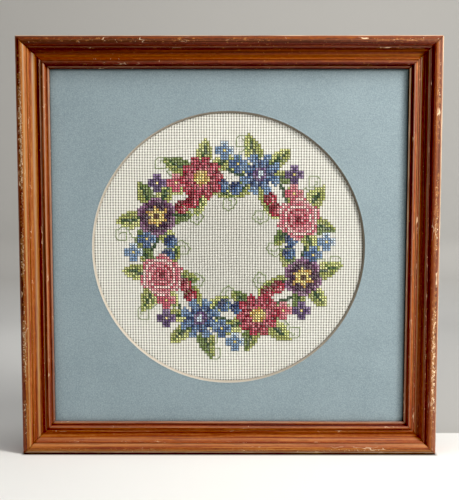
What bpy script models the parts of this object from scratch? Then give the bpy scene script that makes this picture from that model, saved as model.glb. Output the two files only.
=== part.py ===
"""Framed cross stitch sampler: a mitred wood frame, a round window mat and a flat sheet of Aida cloth.

Units are metres and +Z is up. The frame stands upright on the flat outer side of its bottom rail, with its
face towards -Y. The origin is the middle of its underside. Two directions are used along the way: "inward"
runs from the frame's outer edge towards the picture, and "height" rises from the back plane to the viewer.
"""
import bpy
import bmesh
from math import cos, pi, radians, sin, sqrt, tan

MM = 0.001

# The whole frame
OUTER_SIZE = 284.0 * MM         # outer width, and the same height
RAIL_WIDTH = 21.5 * MM          # outer edge to sight edge
RAIL_DEPTH = 22.0 * MM          # back plane to the top of the outer bead
REBATE_WIDTH = 5.1 * MM
REBATE_DEPTH = 11.5 * MM
FITTING_GAP = 0.3 * MM          # between pieces that touch

# The moulding's members, from the outer edge inward. A slope is its steepness in degrees.
BACK_CHAMFER = 0.5 * MM
CORNER_RADIUS = 0.45 * MM
BEAD_CENTRE = 4.3 * MM
BEAD_RADIUS = 2.4 * MM
BEAD_OUTER_SLOPE = 42.0
BEAD_INNER_SLOPE = 50.0
QUIRK_PLACE = 7.5 * MM
FILLET_START = 7.95 * MM
FILLET_END = 8.5 * MM
FILLET_HEIGHT = 19.9 * MM
COVE_CENTRE = 12.9 * MM
COVE_RADIUS = 3.4 * MM
COVE_FALL = 68.0
TROUGH_HEIGHT = 14.7 * MM
RISE_RADIUS = 2.2 * MM
RISE_SLOPE = 42.0
STEP_START = 14.85 * MM
STEP_END = 15.5 * MM
STEP_HEIGHT = 15.68 * MM
INNER_QUIRK_PLACE = 15.85 * MM
INNER_QUIRK_HEIGHT = 15.15 * MM
INNER_BEAD_CENTRE = 18.0 * MM
INNER_BEAD_RADIUS = 1.05 * MM
INNER_BEAD_SLOPE = 45.0
INNER_BEAD_HEIGHT = 16.85 * MM
LIP_START = 19.3 * MM
LIP_HEIGHT = 14.0 * MM
LIP_EDGE_RADIUS = 0.7 * MM
LIP_TUCK = 30.0                 # degrees that the lip's round edge turns back under
UNDERCUT = 1.2 * MM             # from the sight edge to where the lip meets the mat

# The window mat, whose round window is a little off the frame's centre, as on the real one
MAT_THICKNESS = 1.4 * MM
WINDOW_RADIUS = 93.2 * MM       # at the coloured face
WINDOW_SHIFT_X = -0.5 * MM
WINDOW_SHIFT_Z = -0.55 * MM
WINDOW_SIDES = 96

# The layers behind the mat
CLOTH_THICKNESS = 1.0 * MM
BACKING_THICKNESS = 3.0 * MM

# Framer's points, two to a rail
POINT_THICKNESS = 0.8 * MM
POINT_WIDTH = 9.0 * MM
POINT_IN_WOOD = 5.0 * MM
POINT_OVER_BOARD = 8.0 * MM
POINT_TIP_WIDTH = 4.0 * MM
POINT_SPACING = 130.0 * MM

# Worked out from the sizes above
HALF_SIZE = OUTER_SIZE / 2
FRAME_CENTRE = (0.0, 0.0, HALF_SIZE)
BACK_Y = RAIL_DEPTH / 2
REBATE_WALL = RAIL_WIDTH - REBATE_WIDTH
SHEET_HALF = HALF_SIZE - REBATE_WALL - FITTING_GAP
MAT_FRONT_HEIGHT = REBATE_DEPTH - FITTING_GAP
CLOTH_FRONT_HEIGHT = MAT_FRONT_HEIGHT - MAT_THICKNESS - FITTING_GAP
BACKING_FRONT_HEIGHT = CLOTH_FRONT_HEIGHT - CLOTH_THICKNESS - FITTING_GAP
POINT_FRONT_HEIGHT = BACKING_FRONT_HEIGHT - BACKING_THICKNESS - FITTING_GAP

SIDES = ("bottom", "right", "top", "left")   # each a quarter turn on from the one before


def clear_scene():
    for old in list(bpy.data.objects):
        bpy.data.objects.remove(old, do_unlink=True)


def material(name, colour, roughness, metallic=0.0):
    made = bpy.data.materials.new(name)
    made.use_nodes = True
    shader = made.node_tree.nodes["Principled BSDF"]
    shader.inputs["Base Color"].default_value = (*colour, 1.0)
    shader.inputs["Roughness"].default_value = roughness
    shader.inputs["Metallic"].default_value = metallic
    return made


def add_object(name, mesh_builder, finish):
    """Turns a bmesh into a named object, with its faces pointing out."""
    bmesh.ops.recalc_face_normals(mesh_builder, faces=mesh_builder.faces)
    mesh = bpy.data.meshes.new(name)
    mesh_builder.to_mesh(mesh)
    mesh_builder.free()
    made = bpy.data.objects.new(name, mesh)
    bpy.context.scene.collection.objects.link(made)
    made.data.materials.append(finish)
    return made


def arc(centre, radius, start, end, steps):
    """Points on a round member, with angles in degrees from the inward direction."""
    angles = [radians(start + (end - start) * step / steps) for step in range(steps + 1)]
    return [(centre[0] + radius * cos(angle), centre[1] + radius * sin(angle)) for angle in angles]


def moulding_profile():
    """The rail's section as (inward, height) points, from the back's outer corner round to the rebate."""
    bead = (BEAD_CENTRE, RAIL_DEPTH - BEAD_RADIUS)
    slope = radians(BEAD_OUTER_SLOPE)
    rise = ((BEAD_CENTRE - CORNER_RADIUS) * sin(slope) - (BEAD_RADIUS - CORNER_RADIUS)) / cos(slope)
    corner = (CORNER_RADIUS, bead[1] - rise)
    inner_bead = (INNER_BEAD_CENTRE, INNER_BEAD_HEIGHT - INNER_BEAD_RADIUS)
    lip = (RAIL_WIDTH - LIP_EDGE_RADIUS, LIP_HEIGHT - LIP_EDGE_RADIUS)
    points = [(BACK_CHAMFER, 0.0), (0.0, BACK_CHAMFER)]
    points += arc(corner, CORNER_RADIUS, 180.0, 90.0 + BEAD_OUTER_SLOPE, 3)
    points += arc(bead, BEAD_RADIUS, 90.0 + BEAD_OUTER_SLOPE, 90.0 - BEAD_INNER_SLOPE, 10)
    fall = (QUIRK_PLACE - points[-1][0]) * tan(radians(BEAD_INNER_SLOPE))
    points += [(QUIRK_PLACE, points[-1][1] - fall)]
    points += [(FILLET_START, FILLET_HEIGHT), (FILLET_END, FILLET_HEIGHT)]
    points += arc((COVE_CENTRE, TROUGH_HEIGHT + COVE_RADIUS), COVE_RADIUS, 270.0 - COVE_FALL, 270.0, 7)
    points += arc((COVE_CENTRE, TROUGH_HEIGHT + RISE_RADIUS), RISE_RADIUS, 270.0, 270.0 + RISE_SLOPE, 4)[1:]
    points += [(STEP_START, STEP_HEIGHT), (STEP_END, STEP_HEIGHT), (INNER_QUIRK_PLACE, INNER_QUIRK_HEIGHT)]
    points += arc(inner_bead, INNER_BEAD_RADIUS, 90.0 + INNER_BEAD_SLOPE, 0.0, 8)
    points += [(LIP_START, LIP_HEIGHT)]
    points += arc(lip, LIP_EDGE_RADIUS, 90.0, -LIP_TUCK, 5)
    points += [(RAIL_WIDTH - UNDERCUT, REBATE_DEPTH), (REBATE_WALL, REBATE_DEPTH), (REBATE_WALL, 0.0)]
    return points


def frame_rail(side, finish):
    """One length of moulding with a mitre at both ends, modelled as the bottom rail and turned to its side."""
    mitre_gap = FITTING_GAP / sqrt(2)
    builder = bmesh.new()
    ends = []
    for end in (-1, 1):
        ring = []
        for inward, height in moulding_profile():
            reach = HALF_SIZE - inward - mitre_gap
            ring.append(builder.verts.new((end * reach, BACK_Y - height, inward - HALF_SIZE)))
        ends.append(ring)
        builder.faces.new(ring)
    count = len(ends[0])
    for index in range(count):
        following = (index + 1) % count
        builder.faces.new((ends[0][index], ends[0][following], ends[1][following], ends[1][index]))
    rail = add_object("frame_rail_" + side, builder, finish)
    rail.location = FRAME_CENTRE
    rail.rotation_euler = (0.0, -SIDES.index(side) * pi / 2, 0.0)
    rail.data.shade_smooth()
    rail.data.set_sharp_from_angle(angle=radians(35))
    return rail


def flat_sheet(name, front_height, thickness, finish):
    """A square sheet that fills the rebate, less a fitting gap all round."""
    builder = bmesh.new()
    bmesh.ops.create_cube(builder, size=1.0)
    bmesh.ops.scale(builder, vec=(2 * SHEET_HALF, thickness, 2 * SHEET_HALF), verts=builder.verts)
    sheet = add_object(name, builder, finish)
    sheet.location = (0.0, BACK_Y - front_height + thickness / 2, HALF_SIZE)
    return sheet


def mat_board(finish):
    """The window mat: a square outside and a round window whose cut slopes in towards the cloth."""
    builder = bmesh.new()
    loops = {}
    for face, y, radius in (("front", 0.0, WINDOW_RADIUS),
                            ("back", MAT_THICKNESS, WINDOW_RADIUS - MAT_THICKNESS)):
        window = []
        outside = []
        for step in range(WINDOW_SIDES):
            angle = 2 * pi * step / WINDOW_SIDES
            across = cos(angle)
            up = sin(angle)
            window.append(builder.verts.new((WINDOW_SHIFT_X + radius * across, y,
                                             WINDOW_SHIFT_Z + radius * up)))
            stretch = SHEET_HALF / max(abs(across), abs(up))
            outside.append(builder.verts.new((stretch * across, y, stretch * up)))
        loops[face] = (window, outside)
    bridges = ((loops["front"][0], loops["front"][1]), (loops["front"][1], loops["back"][1]),
               (loops["back"][1], loops["back"][0]), (loops["back"][0], loops["front"][0]))
    for first, second in bridges:
        for step in range(WINDOW_SIDES):
            following = (step + 1) % WINDOW_SIDES
            builder.faces.new((first[step], first[following], second[following], second[step]))
    mat = add_object("mat_board", builder, finish)
    mat.location = (0.0, BACK_Y - MAT_FRONT_HEIGHT, HALF_SIZE)
    return mat


def place_at_rail(made, side, along):
    """Moves an object modelled at the bottom rail's rebate wall to a place along one of the rails."""
    turn = -SIDES.index(side) * pi / 2
    inward = HALF_SIZE - REBATE_WALL
    made.location = (along * cos(turn) - inward * sin(turn), BACK_Y - POINT_FRONT_HEIGHT,
                     HALF_SIZE - along * sin(turn) - inward * cos(turn))
    made.rotation_euler = (0.0, turn, 0.0)


def framer_point(number, side, along, finish):
    """A flat steel point: its tapered end is in the wood and its blunt end lies over the board."""
    half = POINT_WIDTH / 2
    tip = POINT_TIP_WIDTH / 2
    blunt = POINT_OVER_BOARD - (half - tip)
    outline = ((-tip, -POINT_IN_WOOD), (tip, -POINT_IN_WOOD), (half, 0.0), (half, blunt),
               (tip, POINT_OVER_BOARD), (-tip, POINT_OVER_BOARD), (-half, blunt), (-half, 0.0))
    builder = bmesh.new()
    front = builder.faces.new([builder.verts.new((across, 0.0, inward)) for across, inward in outline])
    grown = bmesh.ops.extrude_face_region(builder, geom=[front])
    behind = [item for item in grown["geom"] if isinstance(item, bmesh.types.BMVert)]
    bmesh.ops.translate(builder, vec=(0.0, POINT_THICKNESS, 0.0), verts=behind)
    made = add_object("framer_point_%d" % number, builder, finish)
    place_at_rail(made, side, along)
    return made


def cut_point_slot(rail, number, side, along, finish):
    """Cuts the narrow slot that a framer's point has made in the rebate's wall."""
    builder = bmesh.new()
    bmesh.ops.create_cube(builder, size=1.0)
    width = POINT_WIDTH + 2 * FITTING_GAP
    thickness = POINT_THICKNESS + 2 * FITTING_GAP
    length = 2 * (POINT_IN_WOOD + FITTING_GAP)
    bmesh.ops.scale(builder, vec=(width, thickness, length), verts=builder.verts)
    bmesh.ops.translate(builder, vec=(0.0, POINT_THICKNESS / 2, 0.0), verts=builder.verts)
    cutter = add_object("slot_cutter_%d" % number, builder, finish)
    place_at_rail(cutter, side, along)
    cutter.hide_render = True
    cutter.display_type = "WIRE"
    cut = rail.modifiers.new("Slot %d" % number, "BOOLEAN")
    cut.operation = "DIFFERENCE"
    cut.object = cutter


def build():
    clear_scene()
    wood = material("stained wood", (0.34, 0.10, 0.030), 0.34)
    board = material("blue-grey mat board", (0.27, 0.36, 0.39), 0.85)
    cloth = material("cream Aida cloth", (0.82, 0.77, 0.68), 0.95)
    backing = material("brown hardboard", (0.30, 0.19, 0.11), 0.80)
    steel = material("framer's point steel", (0.60, 0.60, 0.62), 0.35, 1.0)

    number = 0
    for side in SIDES:
        rail = frame_rail(side, wood)
        for place in (-1, 1):
            number += 1
            along = place * POINT_SPACING / 2
            framer_point(number, side, along, steel)
            cut_point_slot(rail, number, side, along, steel)
    mat_board(board)
    flat_sheet("stitched_cloth", CLOTH_FRONT_HEIGHT, CLOTH_THICKNESS, cloth)
    flat_sheet("backing_board", BACKING_FRONT_HEIGHT, BACKING_THICKNESS, backing)


build()
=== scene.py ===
# %% [markdown]
# # A framed cross stitch sampler
# The object is a small square picture: a red-brown moulded wood frame, a blue-grey card mat with a round
# window, and cream Aida cloth with a ring of flowers in cross stitch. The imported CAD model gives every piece
# its size and place. This lesson dresses it: it repeats the sizes that it needs, in metres, and makes the
# surfaces that the solids leave out, from worn varnish down to each stitch.

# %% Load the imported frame
from math import atan2, ceil, cos, hypot, pi, radians, sin, sqrt

import bmesh
import bpy
import numpy as np
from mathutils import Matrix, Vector


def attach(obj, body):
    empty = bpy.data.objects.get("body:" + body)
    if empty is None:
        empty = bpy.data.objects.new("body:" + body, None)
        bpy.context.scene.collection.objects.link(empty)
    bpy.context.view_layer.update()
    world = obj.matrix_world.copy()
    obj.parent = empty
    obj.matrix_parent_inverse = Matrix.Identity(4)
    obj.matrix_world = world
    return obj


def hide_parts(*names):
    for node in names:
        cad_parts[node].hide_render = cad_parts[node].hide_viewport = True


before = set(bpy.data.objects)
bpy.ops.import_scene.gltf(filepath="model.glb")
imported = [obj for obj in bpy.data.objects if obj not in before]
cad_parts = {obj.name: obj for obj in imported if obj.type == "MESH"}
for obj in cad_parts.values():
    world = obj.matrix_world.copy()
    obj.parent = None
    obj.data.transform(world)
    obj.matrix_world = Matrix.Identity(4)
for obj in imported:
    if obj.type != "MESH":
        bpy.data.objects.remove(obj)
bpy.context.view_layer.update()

MM = 0.001

# %% [markdown]
# ## The camera and the room
# The camera comes first, because everything else is judged through it. Its place was solved from the
# frame's four corners and the round window in the photograph: almost square on, a little above the
# middle, looking slightly down. The lens is the photograph's focal length in pixels, turned into
# millimetres on Blender's 36 mm sensor.

# %% Place the camera
PHOTO_HEIGHT_PIXELS = 500
FOCAL_LENGTH_PIXELS = 1000
SENSOR_MM = 36.0
CAMERA_PLACE = (0.0033, -0.680, 0.208)
CAMERA_PITCH = 5.67      # degrees below level
CAMERA_TURN = 0.26       # degrees to the left


def in_scene(name, data):
    """Puts data into the scene as a new object."""
    made = bpy.data.objects.new(name, data)
    bpy.context.scene.collection.objects.link(made)
    return made


camera_data = bpy.data.cameras.new("Camera")
camera_data.lens = SENSOR_MM * FOCAL_LENGTH_PIXELS / PHOTO_HEIGHT_PIXELS
camera_data.clip_start = 0.01
camera = in_scene("Camera", camera_data)
camera.location = CAMERA_PLACE
camera.rotation_euler = (radians(90 - CAMERA_PITCH), 0.0, radians(CAMERA_TURN))
bpy.context.scene.camera = camera
print("lens, millimetres:", camera_data.lens)

# %% [markdown]
# The photograph has deep tones: its camera sank the darkest values to black, which is why shaded wood looks
# red there and the gaps in the cloth look nearly black. A black level in the view's curves does the same.
# It is taken off the picture's linear values, and the materials stay natural.

# %% Set the picture's tones
BLACK_LEVEL = 0.025

view = bpy.context.scene.view_settings
view.view_transform = "Standard"
view.use_curve_mapping = True
view.curve_mapping.black_level = (BLACK_LEVEL, BLACK_LEVEL, BLACK_LEVEL)
view.curve_mapping.update()
print("black level:", BLACK_LEVEL)

# %% [markdown]
# Node trees are mostly small sums, which get long when every node is written out. So `Value` wraps a node's
# output: each +, -, *, / or ** adds one maths node to its tree, a vector one where the value is a vector or
# a colour. `result` adds any other node and gives back one of its outputs as a value.

# %% Values that add their own nodes
class Value:
    """A node's output, which can stand in a sum."""

    def __init__(self, socket):
        self.socket = socket
        self.tree = socket.id_data
        self.many = socket.type in ("VECTOR", "RGBA")

    def maths(self, operation, *others, output=0):
        kind = "ShaderNodeVectorMath" if self.many else "ShaderNodeMath"
        return result(self.tree, kind, dict(enumerate((self, *others))), output, operation=operation)

    def __add__(self, other):
        return self.maths("ADD", other)

    def __sub__(self, other):
        return self.maths("SUBTRACT", other)

    def __rsub__(self, other):
        return self * -1.0 + other

    def __mul__(self, other):
        if self.many and not isinstance(other, tuple):
            return result(self.tree, "ShaderNodeVectorMath", {0: self, "Scale": other}, operation="SCALE")
        return self.maths("MULTIPLY", other)

    def __truediv__(self, other):
        return self.maths("DIVIDE", other)

    def __pow__(self, other):
        return self.maths("POWER", other)

    def __abs__(self):
        return self.maths("ABSOLUTE")


def feed(socket, value):
    """Links a value to a socket, or sets the socket to a plain number, colour or name."""
    if isinstance(value, Value):
        socket.id_data.links.new(value.socket, socket)
    else:
        socket.default_value = value


def add(tree, kind, inputs=None, **settings):
    """Adds a node, sets its properties, then feeds its inputs, which are found by name or by number."""
    made = tree.nodes.new(kind)
    for name, value in settings.items():
        setattr(made, name, value)
    for key, value in (inputs or {}).items():
        feed(made.inputs[key], value)
    return made


def result(tree, kind, inputs=None, output=0, **settings):
    return Value(add(tree, kind, inputs, **settings).outputs[output])


print("values ready")

# %% [markdown]
# Every finish below is mixed from the same few moves: a noise, a limit on a value, a blend of two colours,
# the largest of several masks, and a bump.

# %% Helpers for finishes
def largest(first, *others):
    for other in others:
        first = first.maths("MAXIMUM", other)
    return first


def parts(vector):
    """A vector's three numbers."""
    return [Value(part) for part in add(vector.tree, "ShaderNodeSeparateXYZ", {0: vector}).outputs]


def blend(amount, first, second):
    """Mixes two colours."""
    made = add(amount.tree, "ShaderNodeMix", data_type="RGBA")
    for key, value in zip((0, 6, 7), (amount, first, second)):
        feed(made.inputs[key], (*value, 1.0) if isinstance(value, tuple) else value)
    return Value(made.outputs[2])


def limits(value, low, high, start=0.0, end=1.0):
    """Maps a value between two limits onto another range, and holds it there."""
    keys = {"Value": value, "From Min": low, "From Max": high, "To Min": start, "To Max": end}
    return result(value.tree, "ShaderNodeMapRange", keys)


def noise(place, scale=1.0, detail=2.0, roughness=0.5, output=0):
    keys = {"Vector": place, "Scale": scale, "Detail": detail, "Roughness": roughness}
    return result(place.tree, "ShaderNodeTexNoise", keys, output)


def bumped(height, strength, distance):
    keys = {"Height": height, "Strength": strength, "Distance": distance}
    return result(height.tree, "ShaderNodeBump", keys)


def object_place(finish):
    return result(finish.node_tree, "ShaderNodeTexCoord", output="Object")


def attribute(finish, name, output="Fac"):
    return result(finish.node_tree, "ShaderNodeAttribute", output=output, attribute_name=name)


def linear(colour):
    """Turns an 8-bit screen colour into the linear values that shaders use."""
    return tuple(((c / 255 + 0.055) / 1.055) ** 2.4 if c > 10 else c / 255 / 12.92 for c in colour)


def coated(finish, **values):
    """Feeds the finish's Principled shader, and returns the finish."""
    shader = finish.node_tree.nodes["Principled BSDF"]
    for key, value in values.items():
        feed(shader.inputs[key.replace("_", " ")], value)
    return finish


def new_finish(name, **settings):
    """A material. The settings are the numbers that are the same all over."""
    made = bpy.data.materials.new(name)
    made.use_nodes = True
    return coated(made, **settings)


print("finish helpers ready")

# %% [markdown]
# The room is a plain pale floor that curves up into a wall on every side, well outside any camera's
# place. The shelf is white and ends just behind the frame, so the floor's paint darkens there and with
# distance. A narrow dark line painted on the floor under the frame is a painted contact shadow, which the
# broad light would otherwise fill.

# %% Turn the floor and wall
ROOM_RADIUS = 2.6
ROOM_HEIGHT = 2.4
SWEEP_RADIUS = 0.8
SWEEP_STEPS = 10
SHELF_PAINT = (0.80, 0.80, 0.78)
WALL_PAINT = (0.54, 0.53, 0.505)
SHELF_END_PAINT = (0.40, 0.395, 0.38)
FOOT_SHADOW_PAINT = (0.10, 0.09, 0.08)


def room_mesh():
    points = [(0.0, 0.0)]
    for step in range(SWEEP_STEPS + 1):
        turn = pi / 2 * step / SWEEP_STEPS
        points.append((ROOM_RADIUS - SWEEP_RADIUS * (1 - sin(turn)), SWEEP_RADIUS * (1 - cos(turn))))
    points.append((ROOM_RADIUS, ROOM_HEIGHT))
    builder = bmesh.new()
    verts = [builder.verts.new((reach, 0.0, height)) for reach, height in points]
    edges = [builder.edges.new(pair) for pair in zip(verts, verts[1:])]
    bmesh.ops.spin(builder, geom=verts + edges, cent=(0, 0, 0), axis=(0, 0, 1), angle=2 * pi, steps=64,
                   use_merge=True)
    bmesh.ops.remove_doubles(builder, verts=builder.verts, dist=1e-5)
    for face in builder.faces:
        face.normal_update()
        if face.normal.dot(Vector((0, 0, 1)) - face.calc_center_median() * 0.5) < 0:
            face.normal_flip()
        face.smooth = True
    mesh = bpy.data.meshes.new("room")
    builder.to_mesh(mesh)
    return mesh


def room_paint():
    """Pale paint that darkens far away and behind the shelf's end, with a painted contact shadow close under
    the frame, in metres.
    """
    made = new_finish("pale wall paint", Roughness=0.9)
    flat = object_place(made) * (1.0, 1.0, 0.0)
    x, y, _ = parts(flat)
    far = limits(flat.maths("LENGTH", output="Value"), 0.5, 1.0)
    shelf_end = limits(y, 0.043, 0.045) * limits(x, -0.16, 0.05) * limits(y, 0.045, 0.62, 0.95, 0.0)
    # Painted contact shadow: a narrow dark line on the floor just around the frame's foot.
    foot = limits(abs(x), 0.1415, 0.1435, 1.0, 0.0) * limits(abs(y), 0.0096, 0.0122, 0.90, 0.0)
    paint = blend(shelf_end, blend(far, SHELF_PAINT, WALL_PAINT), SHELF_END_PAINT)
    return coated(made, Base_Color=blend(foot, paint, FOOT_SHADOW_PAINT))


room = in_scene("room", room_mesh())
room.data.materials.append(room_paint())
print("room faces:", len(room.data.polygons))

# %% [markdown]
# The strongest light is a tall window high on the right, which leaves soft shadows of the right and top
# rails on the mat. A weak light from the left keeps the left rail warm, a soft one overhead whitens the
# shelf, one behind the object brightens the wall, and a dim cool world stands for the rest of the room.

# %% Hang the lights
def soft_light(name, place, target, size, watts, colour):
    data = bpy.data.lights.new(name, "AREA")
    data.shape = "ELLIPSE"
    data.size, data.size_y = size
    data.energy = watts
    data.color = colour
    made = in_scene(name, data)
    made.location = place
    made.rotation_euler = (Vector(target) - Vector(place)).to_track_quat("-Z", "Y").to_euler()
    return made


PICTURE_MIDDLE = (0.0, 0.0, 0.142)
SUNNY = (1.0, 0.97, 0.93)
soft_light("window light", (0.52, -0.33, 0.58), PICTURE_MIDDLE, (0.18, 0.66), 8.2, SUNNY)
soft_light("side fill", (-0.58, -0.45, 0.28), PICTURE_MIDDLE, (0.40, 0.40), 1.05, SUNNY)
overhead = soft_light("overhead light", (0.0, -0.16, 1.80), (0.0, -0.16, 0.0), (0.60, 0.40), 8.7,
                      (1.0, 0.99, 0.97))
overhead.visible_glossy = False
soft_light("wall light", (0.4, 0.9, 1.40), (0.50, 2.6, 0.9), (1.20, 1.20), 23.5, (1.0, 0.98, 0.95))
world = bpy.data.worlds.new("room light")
world.use_nodes = True
background = world.node_tree.nodes["Background"]
background.inputs["Color"].default_value = (0.80, 0.86, 1.0, 1.0)
background.inputs["Strength"].default_value = 0.14
bpy.context.scene.world = world
print("lights:", [item.name for item in bpy.data.lights])

# %% [markdown]
# ## Geometry Nodes, step by step
# Rails, weave and stitches all repeat or follow a rule, so each is a node tree with named inputs.
# `new_tree` starts one, and `grown` runs it: it puts the tree on a holder object, sets the inputs by their
# identifiers, and keeps the evaluated result as a plain mesh with no modifier left.

# %% Tree helpers
def new_tree(name, numbers, **others):
    """Starts a geometry tree. The numbers are the names of its float inputs, the others name their kind."""
    made = bpy.data.node_groups.new(name, "GeometryNodeTree")
    made.interface.new_socket("Geometry", in_out="OUTPUT", socket_type="NodeSocketGeometry")
    kinds = {"Geometry": "Geometry", **dict.fromkeys(numbers.split(", "), "Float"), **others}
    for label, kind in kinds.items():
        made.interface.new_socket(label, in_out="INPUT", socket_type="NodeSocket" + kind)
    sockets = made.nodes.new("NodeGroupInput").outputs
    return made, {label: Value(sockets[label]) for label in kinds}


def end_tree(geometry, finish):
    """Ends a tree as the export needs: instances made real, then the material."""
    real = result(geometry.tree, "GeometryNodeRealizeInstances", {0: geometry})
    painted = result(geometry.tree, "GeometryNodeSetMaterial", {"Geometry": real, "Material": finish})
    add(geometry.tree, "NodeGroupOutput", {0: painted})
    return geometry.tree


def grown(name, tree, base, values):
    """Runs a tree on a base mesh and returns the result as a new plain object."""
    holder = in_scene(name + "_holder", base)
    modifier = holder.modifiers.new(tree.name, "NODES")
    modifier.node_group = tree
    for item in tree.interface.items_tree:
        if item.in_out == "INPUT" and item.name in values:
            modifier[item.identifier] = values[item.name]
    graph = bpy.context.evaluated_depsgraph_get()
    mesh = bpy.data.meshes.new_from_object(holder.evaluated_get(graph), depsgraph=graph)
    mesh.name = name
    bpy.data.objects.remove(holder)
    print(name, "has", sum(len(face.vertices) - 2 for face in mesh.polygons), "triangles")
    return in_scene(name, mesh)


def store(geometry, name, value, kind="FLOAT"):
    keys = {"Geometry": geometry, "Name": name, "Value": value}
    return result(geometry.tree, "GeometryNodeStoreNamedAttribute", keys, data_type=kind)


def named(tree, name):
    """Reads a number that an earlier node or mesh stored."""
    return result(tree, "GeometryNodeInputNamedAttribute", {"Name": name}, data_type="FLOAT")


def moved(geometry, **where):
    """Moves points by an Offset or to a Position."""
    return result(geometry.tree, "GeometryNodeSetPosition", {"Geometry": geometry, **where})


def position(tree):
    return result(tree, "GeometryNodeInputPosition")


def combine(tree, x, y, z):
    return result(tree, "ShaderNodeCombineXYZ", {0: x, 1: y, 2: z})


def even_points(tree, count):
    """A line from -1 to 1 along X, as evenly spaced points."""
    line = result(tree, "GeometryNodeCurvePrimitiveLine", {"Start": (-1, 0, 0), "End": (1, 0, 0)})
    return result(tree, "GeometryNodeResampleCurve", {"Curve": line, "Count": count})


def swept(curve, profile):
    """Sweeps a profile along a curve, with closed ends."""
    keys = {"Curve": curve, "Profile Curve": profile, "Fill Caps": True}
    return result(curve.tree, "GeometryNodeCurveToMesh", keys)


def round_profile(tree, radius, steps):
    keys = {"Radius": radius, "Resolution": steps}
    return result(tree, "GeometryNodeCurvePrimitiveCircle", keys, mode="RADIUS")


def read_numbers(mesh, name):
    values = np.empty(len(mesh.vertices), np.float32)
    mesh.attributes[name].data.foreach_get("value", values)
    return values


def write_numbers(mesh, name, values):
    values = np.asarray(values, np.float32)
    mesh.attributes.new(name, "FLOAT", "POINT").data.foreach_set("value", values)


print("tree helpers ready")

# %% [markdown]
# ## The wood's finish
# The rails are a pale timber under a red-brown stain and a thin satin varnish. Stain settles in the grooves
# and goes almost black-red there. Elsewhere it lies in long streaks, golden where it is thin, and years of
# handling have left rubbed lines, dry patches, fine scratches, and chips that show the bare wood. Light is
# painted in too: painted shade on the faces that turn from the light, and painted golden and milky
# highlights on the faces and edges that catch it.
# The grain must run along each rail and turn at the mitre, so the pattern reads the `grain` attribute that
# the rails' tree will write: metres along the rail, and round its section.

# %% Mix the stained and varnished wood
STAIN_AND_SHADE_TONES = ((0.455, 0.162, 0.050), (0.325, 0.088, 0.024), (0.242, 0.049, 0.022), (0.146, 0.030, 0.024),
               (0.070, 0.020, 0.018))
DRY_VARNISH = (0.36, 0.160, 0.058)
RUBBED_EDGE_AND_HIGHLIGHT = (0.390, 0.245, 0.170)
POOLED_STAIN = (0.060, 0.018, 0.016)
BARE_WOOD = (0.78, 0.58, 0.38)
RAW_BACK = ((0.42, 0.25, 0.12), (0.55, 0.36, 0.20))
GOLDEN_HIGHLIGHT_GAIN = (0.97, 1.55, 1.10)


def toned(value, tones):
    """Runs a value through evenly spaced colours."""
    made = add(value.tree, "ShaderNodeValToRGB", {0: value})
    stops = made.color_ramp.elements
    while len(stops) < len(tones):
        stops.new(0.5)
    for number, tone in enumerate(tones):
        stops[number].position = number / (len(tones) - 1)
        stops[number].color = (*tone, 1.0)
    return Value(made.outputs[0])


def wood_tone(grain, stain_and_shade, figure):
    """Golden where the stain and painted shade are thin, then crimson, then maroon where they lie deep, in
    long streaks.
    """
    broad = noise(grain * (7.0, 450.0, 1.0), roughness=0.6)
    streaks = noise(grain * (8.0, 1250.0, 1.0), detail=3.0, roughness=0.7)
    flecks = noise(grain * (260.0, 2400.0, 1.0))
    pores = noise(grain * (50.0, 1700.0, 1.0))
    swing = (broad - 0.5) * 0.75 + limits(streaks, 0.42, 0.58, -0.34, 0.34)
    tone = toned(swing * figure + stain_and_shade + (flecks - 0.5) * 0.7, STAIN_AND_SHADE_TONES)
    return blend(limits(pores, 0.58, 0.70, 0.0, 0.45), tone, POOLED_STAIN), pores


def chip_mask(grain, knocks):
    """Pale knocks: short ticks along the grain and small flakes, thickest where the rail was handled."""
    ticks = noise(grain * (560.0, 1300.0, 1.0), roughness=0.6)
    flakes = noise(grain * (600.0, 1300.0, 1.0), detail=3.0, roughness=0.65)
    return largest(*(limits(marks + knocks * 0.19, 0.765, 0.800) for marks in (ticks, flakes)))


def dry_mask(grain, knocks):
    """Patches with ragged borders where handling took the varnish and most of the stain."""
    patches = noise(grain * (330.0, 1000.0, 1.0), detail=4.0, roughness=0.7)
    return limits(knocks * 0.24 + patches, 0.63, 0.69, 0.0, 0.68)


def scratch_lines(grain):
    """Short curved scratches: a line where a slow noise passes through its middle, kept in a few spots."""
    slow = noise(grain * (95.0, 300.0, 1.0), detail=1.0)
    spots = noise(grain * (55.0, 160.0, 3.0), detail=1.0)
    return limits(abs(slow - 0.5), 0.008, 0.020, 1.0, 0.0) * limits(spots, 0.58, 0.62)


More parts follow.
